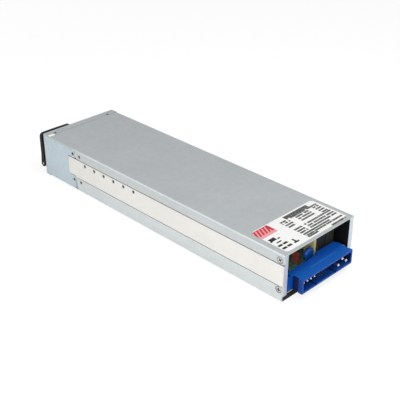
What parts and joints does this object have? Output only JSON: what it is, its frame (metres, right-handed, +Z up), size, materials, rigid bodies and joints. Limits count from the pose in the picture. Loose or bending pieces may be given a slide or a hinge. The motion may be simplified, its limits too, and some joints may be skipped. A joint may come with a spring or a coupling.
{
  "type": "plug-in power supply module",
  "caption": "Low, long plug-in power module for a rack shelf: folded steel covers on aluminium side plates, front fans, folding handle and a blind-mate rear connector.",
  "frame": {"origin": "centre of the case's flat underside", "axes": "+Y towards the rear connector, -Y towards the fans and the handle, +X towards the handle's side, +Z up"},
  "size_m": [0.085, 0.3155, 0.0413],
  "materials": {
    "galvanised_cover": "satin galvanised sheet",
    "galvanised_front": "bluish galvanised sheet",
    "side_plate_aluminium": "fine brushed, pale",
    "inner_sheet": "plain",
    "black_plastic": "fine grain",
    "fan_plastic": "moulded",
    "blue_plastic": "moulded, satin",
    "plated_steel": "bright zinc",
    "dark_screw": "dark zinc",
    "contact_metal": "tin plated",
    "board_green": "solder mask",
    "ferrite": "matt",
    "copper_wire": "enamelled",
    "yellow_case": "potted box",
    "red_case": "potted box",
    "blue_epoxy": "dipped",
    "dark_case": "moulded",
    "heatsink_metal": "plain",
    "busbar_metal": "plain copper",
    "capacitor_can": "sleeved",
    "pad_grey": "silicone",
    "lens": "clear green",
    "lead_red": "insulated wire",
    "label_white": "printed sticker",
    "fuse_metal": "plated"
  },
  "bodies": {
    "module": {"bottom_cover": "galvanised_cover", "top_cover": "galvanised_cover", "right_side_plate": "side_plate_aluminium", "left_side_plate": "side_plate_aluminium", "front_housing": "galvanised_front", "fan_bracket": "inner_sheet", "right_fan_frame": "fan_plastic", "left_fan_frame": "fan_plastic", "fan_screws": "plated_steel", "fan_leads": "lead_red", "indicator_lenses": "lens", "indicator_board": "board_green", "handle_bracket": "black_plastic", "handle_pins": "plated_steel", "latch_guide": "inner_sheet", "main_board": "board_green", "insulating_sheet": "black_plastic", "board_spacers": "plated_steel", "connector_housing": "blue_plastic", "connector_input_pins": "contact_metal", "connector_output_pins": "contact_metal", "connector_signal_pins": "contact_metal", "connector_screws": "plated_steel", "choke_core": "ferrite", "choke_windings": "copper_wire", "choke_base": "dark_case", "x_capacitor": "yellow_case", "film_capacitor": "red_case", "disc_varistor": "blue_epoxy", "bridge_rectifier": "dark_case", "bridge_heatsink": "heatsink_metal", "relay": "dark_case", "fuse": "fuse_metal", "pfc_choke_core": "ferrite", "pfc_choke_winding": "copper_wire", "control_board": "board_green", "aux_transformer": "yellow_case", "bulk_capacitors": "capacitor_can", "transformer_core": "ferrite", "transformer_winding": "yellow_case", "output_inductor": "ferrite", "output_capacitors": "capacitor_can", "output_busbar": "busbar_metal", "right_transistors": "dark_case", "left_transistors": "dark_case", "thermal_pads": "pad_grey", "board_small_parts": "dark_case", "device_screws": "dark_screw", "housing_screws": "dark_screw", "cover_screws": "dark_screw", "lip_screws": "dark_screw", "rear_screws": "plated_steel", "rating_label": "label_white"},
    "handle": {"bail_handle": "black_plastic"},
    "right_fan": {"right_fan_rotor": "fan_plastic"},
    "left_fan": {"left_fan_rotor": "fan_plastic"},
    "latch": {"latch_tooth": "plated_steel"}
  },
  "joints": [
    {"name": "handle_swing", "type": "hinge", "parent": "module", "child": "handle", "pos_m": [0.024, -0.1532, 0.0086], "axis": [1, 0, 0], "range_deg": [0, 90]},
    {"name": "right_fan_spin", "type": "hinge", "parent": "module", "child": "right_fan", "pos_m": [0.0193, -0.126, 0.0205], "axis": [0, 1, 0], "continuous": true},
    {"name": "left_fan_spin", "type": "hinge", "parent": "module", "child": "left_fan", "pos_m": [-0.0193, -0.126, 0.0205], "axis": [0, 1, 0], "continuous": true},
    {"name": "latch_press", "type": "slide", "parent": "module", "child": "latch", "axis": [0, 0, -1], "range_m": [0, 0.0015], "stiffness_N_per_m": 1000, "springref_m": -0.001}
  ]
}
